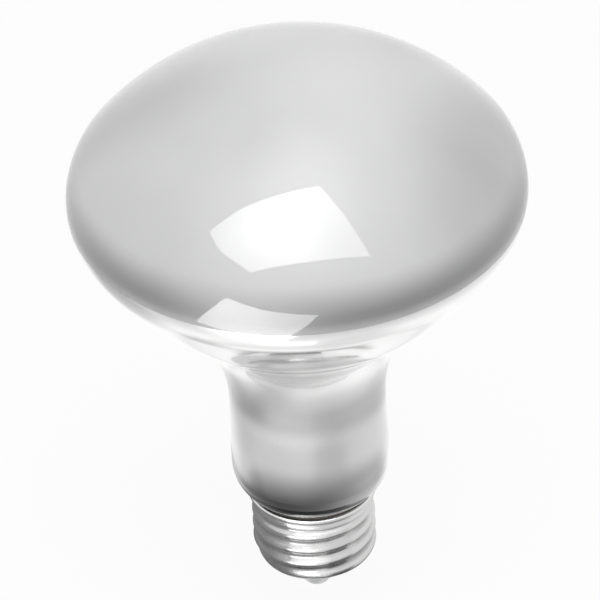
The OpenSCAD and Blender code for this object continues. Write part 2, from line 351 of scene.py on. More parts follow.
def height_rise(tree, base, low, high):
    """How far a point lies between two heights in mm over a base."""
    return use(tree, "Height fade", Low=base + low * MM, High=base + high * MM)["Share"]


def height_band(tree, base, low, full, fading, high):
    """A band over a base, in mm: a rise from low to full, and a fall from fading to high."""
    fall = height_rise(tree, base, fading, high)
    return times(tree, height_rise(tree, base, low, full), calculate(tree, "SUBTRACT", 1.0, fall))


def soft_spot_at(tree, x, y, reach):
    return use(tree, "Soft spot", X=x * MM, Y=y * MM, Reach=reach * MM)["Share"]


def clear_skin(shader, roughness):
    """Smooth clear glass over what lies behind it."""
    shader.inputs["Coat Weight"].default_value = 1.0
    shader.inputs["Coat Roughness"].default_value = roughness
    shader.inputs["Coat IOR"].default_value = 1.52


# The dark band at the rim, in mm over the mirror's edge: its foot, and its fade into the frost
BAND_FOOT, BAND_FADE = (0, 2.6), (3.2, 10.3)
# Painted light and shade on the frost, soft lighter and darker spots: place and reach in mm,
# level, and how far the frost takes that level
PAINTED_FROST_LIGHT = ((-27, 5, 19, 0.5, 0.5), (38, -14, 22, 0.48, 0.65), (-42, 8, 18, 0.45, 0.6),
                (43, 4, 18, 0.45, 0.6), (22, 23, 15, 0.55, 0.4), (33, -30, 14, 0.5, 0.4),
                (3, -25, 15, 0.95, 0.5), (10, -3, 24, 0.95, 0.5))


def frosted_glass(sizes, finish):
    """Frost behind clear glass: a soft pale face with painted light and shade, under a smooth
    clear skin.
    """
    made, tree, shader = material("Frosted glass")
    edge = sizes.mirror_top
    foot, fade = height_rise(tree, edge, *BAND_FOOT), height_rise(tree, edge, *BAND_FADE)
    patches = use(tree, "Cloudiness", Size=0.03, Offset=0.3)["Patches"]
    mottle = use(tree, "Cloudiness", Size=0.012, Offset=0.1)["Patches"]
    specks = use(tree, "Fine grain", Size=0.0004)
    pale = blended(tree, times(tree, patches, 0.2), finish.frost,
                   [c * 0.8 for c in finish.frost])
    pale = blended(tree, times(tree, mottle, 0.05), pale, (1, 1, 1))
    # Painted light and shade: soft lighter and darker spots laid on the frost's colour
    for x, y, reach, level, strength in PAINTED_FROST_LIGHT:
        spot = soft_spot_at(tree, x, y, reach)
        pale = blended(tree, times(tree, spot, strength), pale, [level] * 3)
    band = blended(tree, foot, finish.rim_foot, finish.rim_shade)
    rough = plus(tree, 0.42, times(tree, mottle, 0.12))
    dress(tree, shader, blended(tree, fade, band, pale), rough,
          bump(tree, specks["Height"], 0.25, 0.00005))
    shader.inputs["IOR"].default_value = 1.45
    clear_skin(shader, 0.015)
    return made


THROAT_DEPTH = 73 * MM
# Where the mirror coat changes, in mm over the throat: its rise to the bowl, its thin waist, and
# its dull band
BOWL_RISE, WAIST_BAND, DULL_BAND = (0, 10), (-11, -6, -3, 2), (-14, -6, 4, 15)
# In mm over the cap's bead: its rise from bare glass, and the start of its pale sides
COAT_RISE, SIDE_RISE = (6.6, 17), (2.2, 3.8)
# In mm over its upper edge
EDGE_RISE = (-3.4, 0)
# Painted reflections on the mirror coating, darker and paler patches: place and reach in mm,
# heights over the cap's bead from and to in mm, level, and how far the coating takes that level;
# and how soft both ends are, in mm
PAINTED_REFLECTION_PATCHES = ((-7, -14, 14, -6, 7, 0.01, 0.95), (12, -11, 13, -6, 11, 0.45, 0.7),
                (-15, -6, 11, 8, 16, 0.7, 0.7), (-13, -10, 10, 27, 41, 0.12, 0.65),
                (-8, -18, 8, 32, 42, 0.2, 0.5),
                (3, -17, 10, 25, 36, 0.35, 0.25), (15, -7, 9, 24, 38, 0.25, 0.35))
PATCH_SOFT = 2.5


def mirrored_glass(sizes, finish):
    """A mirror coating behind clear glass, which thins on the neck and ends at the shoulder, with
    painted reflections on it.
    """
    made, tree, shader = material("Mirrored glass")
    throat, bead = sizes.bulb_top - THROAT_DEPTH, SHELL_HIGH.z
    bowl = height_rise(tree, throat, *BOWL_RISE)
    foot, side = height_rise(tree, bead, *COAT_RISE), height_rise(tree, bead, *SIDE_RISE)
    edge = height_rise(tree, sizes.mirror_top, *EDGE_RISE)
    waves = use(tree, "Cloudiness", Size=0.018, Offset=0.2)["Patches"]
    streaks = use(tree, "Cloudiness", Size=0.007, Offset=0.5)["Patches"]
    coat_and_painted_reflections = blended(tree, bowl, finish.neck, finish.mirror)
    coat_and_painted_reflections = blended(tree, height_band(tree, throat, *WAIST_BAND), coat_and_painted_reflections, finish.waist)
    coat_and_painted_reflections = blended(tree, times(tree, streaks, 0.08), coat_and_painted_reflections, (0.5, 0.5, 0.5))
    facing = add(tree, "LayerWeight", {"Blend": 0.5}).outputs["Facing"]
    slant = times(tree, ramp(tree, facing, 0.55, 0.85), side)
    coat_and_painted_reflections = blended(tree, foot, blended(tree, slant, finish.bare_glass, finish.mirror), coat_and_painted_reflections)
    # Painted reflections: darker and paler patches laid on the mirror's colour
    for x, y, reach, low, high, level, strength in PAINTED_REFLECTION_PATCHES:
        band = height_band(tree, bead, low - PATCH_SOFT, low + PATCH_SOFT,
                           high - PATCH_SOFT, high + PATCH_SOFT)
        amount = times(tree, band, times(tree, soft_spot_at(tree, x, y, reach), strength))
        coat_and_painted_reflections = blended(tree, amount, coat_and_painted_reflections, [level] * 3)
    rough = plus(tree, 0.14, times(tree, streaks, 0.06))
    rough = plus(tree, rough, times(tree, height_band(tree, throat, *DULL_BAND), 0.3))
    dress(tree, shader, blended(tree, edge, coat_and_painted_reflections, finish.mirror_edge), rough,
          bump(tree, waves, 0.12, 0.0006), 1.0)
    clear_skin(shader, 0.02)
    return made


# Painted shade in the groove under the bead, in mm over the middle of the bead
GROOVE_SHADE_BAND = (-1.8, -1.3, -1.0, -0.6)


def cap_plating(sizes, finish):
    """Thin plated sheet, rolled and rubbed, with grime in its roots and painted shade in the
    groove under its bead.
    """
    made, tree, shader = material("Cap plating")
    marks = use(tree, "Turned marks", Height=0.00022, Length=0.012)
    root = use(tree, "Ring depth", Outer=sizes.crest_radius - 0.3 * MM,
               Inner=sizes.root_radius - 0.05 * MM)["Share"]
    grain = use(tree, "Fine grain", Size=0.00025)
    patches = use(tree, "Cloudiness", Size=0.006, Offset=0.7)["Patches"]
    scores = use(tree, "Turned marks", Height=0.003, Length=0.00045, Slant=-0.7)["Marks"]
    # Painted shade: the groove under the bead is darkened towards the grime colour all round
    groove = height_band(tree, SHELL_HIGH.z - 0.6 * MM, *GROOVE_SHADE_BAND)
    grime_and_shade = times(tree, root, times(tree, patches, 0.55))
    grime_and_shade = calculate(tree, "MAXIMUM", grime_and_shade, times(tree, groove, 0.7))
    clean = blended(tree, times(tree, marks["Marks"], 0.25), finish.cap_metal,
                    [c * 0.75 for c in finish.cap_metal])
    rough = plus(tree, 0.17, times(tree, marks["Rubbed"], 0.1))
    rough = plus(tree, rough, times(tree, grime_and_shade, 0.3))
    height = plus(tree, marks["Marks"], times(tree, grain["Height"], 0.4))
    height = plus(tree, height, times(tree, scores, 1.6))
    dress(tree, shader, blended(tree, grime_and_shade, clean, finish.cap_grime_and_shade), rough,
          bump(tree, height, 0.25, 0.00008), 1.0)
    return made


def black_glass(finish):
    """Pressed black glass with faint flow marks and a few pits."""
    made, tree, shader = material("Black glass")
    flow = use(tree, "Cloudiness", Size=0.004, Offset=0.4)["Patches"]
    grain = use(tree, "Fine grain", Size=0.0005)
    tone = blended(tree, times(tree, flow, 0.3), finish.insulator, (0.05, 0.05, 0.055))
    rough = plus(tree, 0.12, times(tree, grain["Specks"], 0.3))
    dress(tree, shader, tone, rough, bump(tree, flow, 0.2, 0.0003))
    return made


def worn_metal(name, tint, rough_low, grain_size, dull):
    """Small soft metal pieces: a grainy, dulled skin rubbed bright in patches."""
    made, tree, shader = material(name)
    grain = use(tree, "Fine grain", Size=grain_size)
    patches = use(tree, "Cloudiness", Size=0.0022, Offset=0.9)["Patches"]
    tone = blended(tree, times(tree, patches, dull), tint, [c * 0.45 for c in tint])
    rough = plus(tree, rough_low, times(tree, patches, 0.2))
    height = plus(tree, grain["Height"], patches)
    dress(tree, shader, tone, rough, bump(tree, height, 0.3, 0.00012), 1.0)
    return made


def fired_cement(finish):
    """Dry matt cement with a fine grain."""
    made, tree, shader = material("Cement")
    grain = use(tree, "Fine grain", Size=0.0003)
    tone = blended(tree, grain["Height"], finish.cement, [c * 0.6 for c in finish.cement])
    rough = plus(tree, 0.8, times(tree, grain["Specks"], 0.15))
    dress(tree, shader, tone, rough, bump(tree, grain["Height"], 0.6, 0.0002))
    return made


# Modelling

def arc_on(bm, start, centre, angle, steps):
    """Carries an outline on from a point, round a centre in the XZ plane, to its last point."""
    if steps < 1 or abs(angle) < 1e-6:
        return start
    made = bmesh.ops.spin(bm, geom=[start], cent=(centre[0], 0, centre[1]), axis=(0, -1, 0),
                          angle=angle, steps=steps)
    return made["geom_last"][0]


def line_on(bm, start, end, steps=1):
    """Carries an outline straight on to a point, and gives its last point."""
    first = start.co.copy()
    for k in range(steps):
        start = bmesh.ops.extrude_vert_indiv(bm, verts=[start])["verts"][0]
        start.co = first.lerp(Vector((end[0], 0, end[1])), (k + 1) / steps)
    return start


def lines_on(bm, start, corners):
    """Carries an outline straight on from corner to corner, each with its number of steps."""
    for out, up, steps in corners:
        start = line_on(bm, start, (out, up), steps)
    return start


def turn_round(bm, steps):
    """Turns the outline round the axis into a closed skin, and closes its poles."""
    bmesh.ops.remove_doubles(bm, verts=bm.verts, dist=1e-7)
    bmesh.ops.spin(bm, geom=bm.verts[:] + bm.edges[:], cent=(0, 0, 0), axis=(0, 0, 1),
                   angle=2 * pi, steps=steps, use_merge=True)
    bmesh.ops.remove_doubles(bm, verts=bm.verts, dist=1e-7)
    bmesh.ops.recalc_face_normals(bm, faces=bm.faces)


def as_object(name, bm, finishes):
    """Makes an object of a finished mesh."""
    mesh = bpy.data.meshes.new(name)
    bm.to_mesh(mesh)
    bm.free()
    for finish in finishes:
        mesh.materials.append(finish)
    made = bpy.data.objects.new(name, mesh)
    bpy.context.scene.collection.objects.link(made)
    return made


def piece(name, bm, finishes):
    """Makes a smooth object that rides on the bulb's one body."""
    for face in bm.faces:
        face.smooth = True
    made = as_object(name, bm, finishes)
    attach(made, "root")
    return made


def tangent_face(s):
    """Height of the middle of the face's arc, and the angle at which the rim takes over."""
    ring = s.bulb_radius - s.rim_radius
    radius = s.face_rise ** 2 + ring ** 2 - s.rim_radius ** 2
    radius /= 2 * (s.face_rise - s.rim_radius)
    centre = s.bulb_top - radius
    return centre, atan2(s.bulb_top - s.face_rise - centre, ring)


def glass_outline(bm, s, cap):
    """Half the outline of the glass, from the middle of the face to the sealed end in the cap."""
    face_centre, edge = tangent_face(s)
    ring, wide = s.bulb_radius - s.rim_radius, s.bulb_top - s.face_rise
    at = bm.verts.new((0, 0, s.bulb_top))
    at = arc_on(bm, at, (0, face_centre), edge - pi / 2, 56)
    split = asin((s.mirror_top - wide) / s.rim_radius)
    at = arc_on(bm, at, (ring, wide), split - edge, 32)
    at = arc_on(bm, at, (ring, wide), -s.rim_turn - split, 24)
    foot_radius = s.neck_radius + s.throat_radius * (1 - cos(s.bowl_foot))
    rim_end = (ring + s.rim_radius * cos(s.rim_turn), wide - s.rim_radius * sin(s.rim_turn))
    bowl_radius = (rim_end[0] - foot_radius) / (cos(s.rim_turn) - cos(s.bowl_foot))
    bowl_centre = (rim_end[0] - bowl_radius * cos(s.rim_turn),
                   rim_end[1] + bowl_radius * sin(s.rim_turn))
    at = arc_on(bm, at, bowl_centre, s.rim_turn - s.bowl_foot, 20)
    throat = (s.neck_radius + s.throat_radius,
              bowl_centre[1] - (bowl_radius + s.throat_radius) * sin(s.bowl_foot))
    at = arc_on(bm, at, throat, s.bowl_foot, 30)
    shoulder_ring = s.neck_foot_radius - s.shoulder_radius
    reach = s.shoulder_radius + s.cement_gap + cap.bead_radius
    rise = sqrt(reach ** 2 - (cap.bead_ring - shoulder_ring) ** 2)
    shoulder = (shoulder_ring, cap.bead_height + rise)
    drop, widening = (throat[1] - shoulder[1]) / 2, (s.neck_foot_radius - s.neck_radius) / 2
    bend = 2 * atan2(max(widening, 1e-6), drop)
    sweep = drop / sin(bend)
    at = arc_on(bm, at, (s.neck_radius + sweep, throat[1]), bend, 6)
    at = arc_on(bm, at, (s.neck_foot_radius - sweep, shoulder[1]), -bend, 6)
    turned = acos((s.seal_radius * 17 / 16 - shoulder_ring) / s.shoulder_radius)
    at = arc_on(bm, at, shoulder, -turned, 24)
    at = line_on(bm, at, (s.seal_radius, at.co.z - s.seal_radius / 16))
    rounded = s.seal_radius / 6
    at = line_on(bm, at, (s.seal_radius, s.seal_end + rounded))
    at = arc_on(bm, at, (s.seal_radius - rounded, s.seal_end + rounded), -pi / 2, 6)
    at = line_on(bm, at, (s.pump_radius, s.seal_end))
    at = line_on(bm, at, (s.pump_radius, GLASS_LOW.z + s.pump_radius))
    arc_on(bm, at, (0, GLASS_LOW.z + s.pump_radius), -pi / 2, 6)


class MakeGlass(bpy.types.Operator):
    """Models the blown glass: the frosted face, the mirrored bowl and neck, and the sealed end"""
    bl_idname = "reflector_bulb.make_glass"
    bl_label = "Glass bulb"

    def execute(self, context):
        s, cap = context.scene.bulb_sizes, context.scene.cap_sizes
        bm = bmesh.new()
        glass_outline(bm, s, cap)
        turn_round(bm, s.glass_turn_steps)
        for face in bm.faces:
            face.material_index = int(face.calc_center_median().z < s.mirror_top)
        finish = context.scene.bulb_finish
        made = piece("bulb", bm, [frosted_glass(s, finish), mirrored_glass(s, finish)])
        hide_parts("glass_bulb")
        return {"FINISHED"}


def knuckle_height(c, u):
    """Height of the thread over its root at a distance along the axis from its crest."""
    crest, root = c.crest_radius - c.knuckle, c.root_radius + c.knuckle
    reach = hypot(c.pitch / 2, root - crest)
    flank = atan2(root - crest, c.pitch / 2) + acos(min(1, 2 * c.knuckle / reach))
    top_u, top_r = c.knuckle * cos(flank), crest + c.knuckle * sin(flank)
    foot_u, foot_r = c.pitch / 2 - top_u, root - c.knuckle * sin(flank)
    if u < top_u:
        return crest + sqrt(c.knuckle ** 2 - u ** 2) - c.root_radius
    if u > foot_u:
        return root - sqrt(max(0, c.knuckle ** 2 - (c.pitch / 2 - u) ** 2)) - c.root_radius
    return top_r + (foot_r - top_r) * (u - top_u) / (foot_u - top_u) - c.root_radius


def ease(t):
    t = min(1, max(0, t))
    return t * t * (3 - 2 * t)


def thread_height(c, z, angle, start):
    """Height of the thread over its root at a height and an angle, with both ends faded out."""
    part = ((angle - c.thread_start) / (2 * pi)) % 1
    along = (z - start) / c.pitch - part
    whole = floor(along + 0.5)
    turned = whole + part - c.fade / 2
    faded = ease(turned / c.fade) * ease((c.turns - turned) / c.fade)
    return faded * knuckle_height(c, abs(along - whole) * c.pitch) if faded else 0.0


class MakeShell(bpy.types.Operator):
    """Models the rolled sheet of the screw cap, with its bead, skirt and knuckle thread"""
    bl_idname = "reflector_bulb.make_shell"
    bl_label = "Screw shell"

    def execute(self, context):
        c, finish = context.scene.cap_sizes, context.scene.bulb_finish
        lip = SHELL_LOW.z
        body = lip + c.lip_rise
        groove = c.bead_height - c.bead_radius - c.groove_rise / 2
        groove_radius = c.skirt_radius - c.groove_depth
        skirt_top = groove - c.groove_rise / 2
        skirt_foot = skirt_top - c.skirt_rise / 2
        thread_top = skirt_foot - c.skirt_rise / 2
        start = body - c.pitch / 4
        bead_foot = (c.bead_ring + c.bead_radius * cos(radians(-120)),
                     c.bead_height + c.bead_radius * sin(radians(-120)))
        bm = bmesh.new()
        at = bm.verts.new((c.lip_radius - c.sheet, 0, lip))
        at = lines_on(bm, at, (
            (c.lip_radius, lip, 2),
            ((c.lip_radius + c.root_radius) / 2, lip + c.lip_rise / 3, 4),
            (c.root_radius, body, 6), (c.root_radius, thread_top, 84),
            (c.skirt_radius, skirt_foot, 6), (c.skirt_radius, skirt_top, 4),
            (groove_radius, groove, 4), (*bead_foot, 2)))
        at = arc_on(bm, at, (c.bead_ring, c.bead_height), radians(300), 28)
        lines_on(bm, at, (
            (groove_radius - c.sheet, groove, 2), (c.root_radius - c.sheet, thread_top, 2),
            (c.root_radius - c.sheet, body, 4), (c.lip_radius - c.sheet, lip, 2)))
        turn_round(bm, c.cap_turn_steps)
        run_out, spare = 1.2 * MM, 0.01 * MM
        for v in bm.verts:
            reach = hypot(v.co.x, v.co.y)
            outside = reach > c.root_radius - 0.5 * c.sheet or v.co.z < body
            if outside and body - run_out < v.co.z < groove - spare:
                if reach < c.lip_radius - 0.5 * c.sheet:
                    continue
                out = thread_height(c, v.co.z, atan2(v.co.y, v.co.x), start)
                v.co.x *= 1 + out / reach
                v.co.y *= 1 + out / reach
        made = piece("cap_shell", bm, [cap_plating(c, finish)])
        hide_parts("screw_shell")
        return {"FINISHED"}


# Insulator: hole, nose, cone, seat in the shell and dish, and how far it stays inside its solid
HOLE_RADIUS, NOSE_RADIUS, NOSE_ROUND = 1.9 * MM, 4.7 * MM, 0.3 * MM
CONE_RADIUS, CONE_END, SEAT_RADIUS, SEAT_RISE = 10.8 * MM, 0.15 * MM, 11.13 * MM, 1.4 * MM
DISH_DEPTH, MARGIN = 1.6 * MM, 0.02 * MM
# Contact plate with its eyelet tube, and the solder tip
PLATE_RADIUS, PLATE_EDGE, TUBE_RADIUS, TUBE_BORE = 4.2 * MM, 0.12 * MM, 1.8 * MM, 1.45 * MM
TIP_RADIUS, TIP_FLAT, TIP_STEPS = 3.4 * MM, 0.9 * MM, 24
# Side lead: radius, lift over the bead, and lean and length of its end; and the drop of solder
WIRE_RADIUS, WIRE_LIFT, WIRE_LEAN, WIRE_END = 0.2 * MM, 0.225 * MM, 0.1 * MM, 4 * MM
DROP_RADIUS, DROP_LIFT = 1 * MM, 0.1 * MM


class MakeContact(bpy.types.Operator):
    """Models the black glass insulator, the brass contact plate and the solder tip"""
    bl_idname = "reflector_bulb.make_contact"
    bl_label = "Insulator and contact"

    def execute(self, context):
        finish = context.scene.bulb_finish
        nose, lip = INSULATOR_LOW.z, SHELL_LOW.z
        wide, top = INSULATOR_HIGH.x - MARGIN, INSULATOR_HIGH.z
        bm = bmesh.new()
        at = bm.verts.new((HOLE_RADIUS, 0, nose))
        at = line_on(bm, at, (NOSE_RADIUS, nose), 4)
        at = arc_on(bm, at, (NOSE_RADIUS, nose + NOSE_ROUND), radians(60), 8)
        lines_on(bm, at, (
            (CONE_RADIUS, lip - CONE_END, 16), (SEAT_RADIUS, lip + MARGIN, 3),
            (wide, lip + SEAT_RISE, 3), (wide, top, 3),
            (HOLE_RADIUS, top - DISH_DEPTH, 6), (HOLE_RADIUS, nose, 4)))
        turn_round(bm, 128)
        made = piece("black_insulator", bm, [black_glass(finish)])
        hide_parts("insulator")

        bm = bmesh.new()
        low, high, edge = PLATE_LOW.z, nose, PLATE_EDGE
        at = bm.verts.new((TUBE_BORE, 0, low))
        at = line_on(bm, at, (PLATE_RADIUS - edge, low), 6)
        at = arc_on(bm, at, (PLATE_RADIUS - edge, low + edge), pi / 2, 5)
        at = line_on(bm, at, (PLATE_RADIUS, high - edge))
        at = arc_on(bm, at, (PLATE_RADIUS - edge, high - edge), pi / 2, 5)
        lines_on(bm, at, ((TUBE_RADIUS, high, 4), (TUBE_RADIUS, PLATE_HIGH.z, 1),
                          (TUBE_BORE, PLATE_HIGH.z, 1), (TUBE_BORE, low, 4)))
        turn_round(bm, 128)
        brass = worn_metal("Worn brass", finish.contact, 0.25, 0.0002, 0.5)
        made = piece("brass_contact", bm, [brass])
        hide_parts("contact_plate")

        bm = bmesh.new()
        top = TIP_HIGH.z
        at = bm.verts.new((0, 0, top))
        at = line_on(bm, at, (TIP_RADIUS, top), 4)
        for k in range(1, TIP_STEPS + 1):
            t = k / TIP_STEPS
            out = ((1 - t) ** 2 + 2 * t * (1 - t)) * TIP_RADIUS + t * t * TIP_FLAT
            up = ((1 - t) ** 2 + 2 * t * (1 - t) / 3) * top
            at = line_on(bm, at, (out, up))
        line_on(bm, at, (0, 0), 4)
        turn_round(bm, 96)
        dull = worn_metal("Dull solder", finish.solder, 0.35, 0.0004, 0.6)
        made = piece("solder_tip", bm, [dull])
        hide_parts("centre_solder")
        return {"FINISHED"}


class MakeLeads(bpy.types.Operator):
    """Models the side lead and its drop of solder, and finishes the cement and the centre lead"""
    bl_idname = "reflector_bulb.make_leads"
    bl_label = "Leads, solder and cement"

    def execute(self, context):
        c, finish = context.scene.cap_sizes, context.scene.bulb_finish
        wire = worn_metal("Lead wire", finish.wire, 0.3, 0.0002, 0.4)
        over_bead = c.bead_radius + WIRE_LIFT
        centre = Vector((0, c.bead_ring, c.bead_height))
        first, last = radians(160), radians(40)
        bm = bmesh.new()
        bmesh.ops.create_circle(bm, cap_ends=True, radius=WIRE_RADIUS, segments=16,
                                matrix=Matrix.Translation((0, over_bead, 0)))
        face = bm.faces[:]
        bmesh.ops.rotate(bm, verts=bm.verts, cent=(0, 0, 0),
                         matrix=Matrix.Rotation(first, 3, "X"))
        bmesh.ops.translate(bm, verts=bm.verts, vec=centre)
        bmesh.ops.spin(bm, geom=face, cent=centre, axis=(1, 0, 0), angle=last - first, steps=28)
        down = bmesh.ops.extrude_face_region(bm, geom=face)["geom"]
        bmesh.ops.translate(bm, verts=[g for g in down if isinstance(g, bmesh.types.BMVert)],
                            vec=(0, -WIRE_LEAN, -WIRE_END))
        bmesh.ops.remove_doubles(bm, verts=bm.verts, dist=1e-7)
        bmesh.ops.recalc_face_normals(bm, faces=bm.faces)
        made = piece("lead_over_bead", bm, [wire])
        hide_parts("side_lead")

        bm = bmesh.new()
        bmesh.ops.create_uvsphere(bm, u_segments=40, v_segments=24, radius=DROP_RADIUS)
        bmesh.ops.scale(bm, verts=bm.verts, vec=(0.95, 0.72, 0.85))
        for v in bm.verts:
            swell = 1 + 0.07 * sin(3100 * v.co.x + 1.2) * cos(2500 * v.co.z + 0.4)
            v.co *= swell
        bmesh.ops.translate(bm, verts=bm.verts, vec=(
            0, c.bead_ring + 0.75 * c.bead_radius, c.bead_height + DROP_LIFT))
        bright = worn_metal("Bright solder", finish.solder, 0.25, 0.0003, 0.4)
        made = piece("side_drop", bm, [bright])
        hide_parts("side_solder")

        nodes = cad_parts
        for node, finish_of in (("cement_ring", fired_cement(finish)), ("centre_lead", wire)):
            mesh = nodes[node].data
            mesh.materials.clear()
            mesh.materials.append(finish_of)
        return {"FINISHED"}


# Stage

# Distance from the axis in mm, and how bright the table is there in a reflection
SIDE_TONES = ((0, 0.9), (9, 0.9), (14, 0.2), (24, 0.3), (30, 1.0), (42, 0.95), (52, 0.85),
              (60, 1.0), (72, 1.0), (300, 1.0))
FRONT_TONES = ((0, 0.9), (9, 0.9), (14, 0.12), (24, 0.15), (30, 0.6), (36, 0.7), (41, 1.0),
               (48, 1.0), (57, 0.82), (66, 0.82), (76, 0.95), (90, 1.0), (115, 0.97),
               (150, 0.85), (220, 0.7), (300, 0.65))
# Softer shades on the table: place and width in mm, level and strength
TABLE_SHADES = ((30, -65, 42, 0.74, 0.85), (-50, -12, 22, 0.3, 0.5), (-118, 21, 70, 0.6, 1.0))
# Cards round the cap: angles to the right of the camera, and their greys low down and high up
CARDS = ((-180, -36, 0.22, 0.3), (15, 50, 0.12, 0.8), (50, 180, 0.8, 0.9))
CARD_RADIUS, LID_RADIUS, CARD_FOOT = 24 * MM, 18 * MM, 0.5 * MM
# White cards between the cap and the front softbox: depth, low and high edge, left and right edge
WHITE_CARDS = (("card_front", -0.07, 0.02, 0.06, -0.075, 0.006),
               ("card_upper", -0.045, 0.033, 0.055, -0.05, 0.003))
# Corners of the overhead softbox, as shares of its height, and how far it is lifted
OVERHEAD_SHARES = ((-0.75, -0.36), (-0.42, -0.245), (0.15, -0.13), (0.66, -0.74),
                   (-0.5, -0.88), (-0.72, -0.58))
OVERHEAD_HEIGHT, OVERHEAD_LIFT = 1.1, Vector((0, 0, 0.1))
# Corners of the ceiling panel, and its height
CEILING_CORNERS = ((-0.4, -0.85), (0.55, -0.85), (0.55, 0.1), (-0.4, 0.1))
CEILING_HEIGHT = 1.3
# Corners of the front softbox seen from the camera's side, and its depth
FRONT_CORNERS = ((-0.126, 0.003), (-0.082, 0.093), (-0.066, 0.134), (-0.031, 0.111),
                 (0.011, 0.097), (-0.009, 0.037), (-0.016, 0.003))
FRONT_DEPTH = -0.115
FLOOR_RADIUS, SURROUND_RADIUS, SURROUND_FOOT, SURROUND_TOP = 3.0, 0.3, 0.4 * MM, 50 * MM
# How much of the floor's look is plain white to the camera and to reflections
PAPER_GLOW = 0.94
# Depth under the face of the point that the camera turns about, and the point that it looks at
PIVOT_DEPTH = 63 * MM
AIM = Vector((-0.56 * MM, 2.4 * MM, GLASS_HIGH.z - 59.87 * MM))


def toward(azimuth, elevation):
    """A way from the bulb, at an angle to the right of the camera and above the horizon."""
    a, e = radians(azimuth), radians(elevation)
    return Vector((sin(a) * cos(e), -cos(a) * cos(e), sin(e)))


def cloth(name):
    """A stage material with nothing on its surface yet."""
    made, tree, shader = material(name)
    tree.nodes.remove(shader)
    return made, tree


def shine(tree, level, colour=(1, 1, 1, 1)):
    """Puts an even glow on a material's surface."""
    light = add(tree, "Emission", {"Color": colour, "Strength": level}).outputs[0]
    tree.links.new(light, tree.nodes["Material Output"].inputs["Surface"])


def seen_directly(tree):
    """1 where the camera, metal or glass looks, and 0 for plain light."""
    path = add(tree, "LightPath").outputs
    seen = calculate(tree, "MAXIMUM", path["Is Glossy Ray"], path["Is Transmission Ray"])
    return calculate(tree, "MAXIMUM", path["Is Camera Ray"], seen)


def paper(name, tint):
    """A plain pale surface that the camera, metal and glass see near white, with shadows kept."""
    made, tree = cloth(name)
    plain = add(tree, "BsdfDiffuse", {"Color": (*tint, 1)}).outputs[0]
    white = add(tree, "Emission", {"Color": (1, 1, 1, 1), "Strength": 1.0}).outputs[0]
    share_white = times(tree, seen_directly(tree), PAPER_GLOW)
    lit = add(tree, "MixShader", {0: share_white, 1: plain, 2: white}).outputs[0]
    clear = add(tree, "BsdfTransparent").outputs[0]
    back = add(tree, "NewGeometry").outputs["Backfacing"]
    shown = add(tree, "MixShader", {0: back, 1: lit, 2: clear}).outputs[0]
    tree.links.new(shown, tree.nodes["Material Output"].inputs["Surface"])
    return made


def glowing(name, strength, centre, spread):
    """A softbox cloth, brightest about one point."""
    made, tree = cloth(name)
    off = on_vector(tree, "DISTANCE", object_place(tree), centre, "Value")
    shine(tree, times(tree, ramp(tree, off, 0, spread, 1.0, 0.62), strength))
    return made


def tone_ramp(tree, reach, stops):
    """A soft ramp of greys over the distance from the axis."""
    tone = add(tree, "ValToRGB", {0: calculate(tree, "DIVIDE", reach, stops[-1][0] * MM)})
    tone.color_ramp.interpolation = "EASE"
    while len(tone.color_ramp.elements) < len(stops):
        tone.color_ramp.elements.new(0.5)
    for element, (out, level) in zip(tone.color_ramp.elements, stops):
        element.position = out / stops[-1][0]
        element.color = (level, level, level, 1)
    return tone.outputs["Color"]


def surround_cloth():
    """The table as polished metal sees it: pale all round, with soft shade about the foot."""
    made, tree = cloth("Surround cloth")
    flat = off_axis(tree)
    reach = on_vector(tree, "LENGTH", flat, result="Value")
    way = on_vector(tree, "NORMALIZE", flat)
    front = on_vector(tree, "DOT_PRODUCT", way, toward(-5, 0), "Value")
    tone = blended(tree, ramp(tree, front, 0.0, 0.75), tone_ramp(tree, reach, SIDE_TONES),
                   tone_ramp(tree, reach, FRONT_TONES))
    for x, y, wide, level, strength in TABLE_SHADES:
        off = on_vector(tree, "DISTANCE", flat, (x * MM, y * MM, 0), "Value")
        shade = ramp(tree, off, 0.3 * wide * MM, wide * MM, strength, 0.0)
        tone = blended(tree, shade, tone, [level] * 3)
    shine(tree, 1.0, tone)
    return made


def card(name, inside_low, inside_high, outside_left=1.0):
    """A card by the cap: its greys inside, low down and high up, and outside at its left."""
    made, tree = cloth(name)
    place = object_place(tree)
    z = add(tree, "SeparateXYZ", {0: place}).outputs["Z"]
    inside = ramp(tree, z, 8 * MM, 17 * MM, inside_low, inside_high)
    way = on_vector(tree, "NORMALIZE", place)
    left = on_vector(tree, "DOT_PRODUCT", way, toward(-80, 0), "Value")
    outside = ramp(tree, left, -0.35, 0.45, 1.0, outside_left)
    back = add(tree, "NewGeometry").outputs["Backfacing"]
    level = add(tree, "MapRange", {"Value": back, "To Min": inside, "To Max": outside})
    shine(tree, level.outputs["Result"])
    return made


def panel(name, corners, finish):
    """A flat panel of the studio, out of the camera's sight."""
    bm = bmesh.new()
    bm.faces.new([bm.verts.new(corner) for corner in corners])
    made = as_object(name, bm, [finish])
    made.visible_camera = False
    return made


def only_glints(made):
    """Lets a stage piece show in gloss, without lighting anything or casting a shadow."""
    made.visible_camera = made.visible_diffuse = made.visible_shadow = False


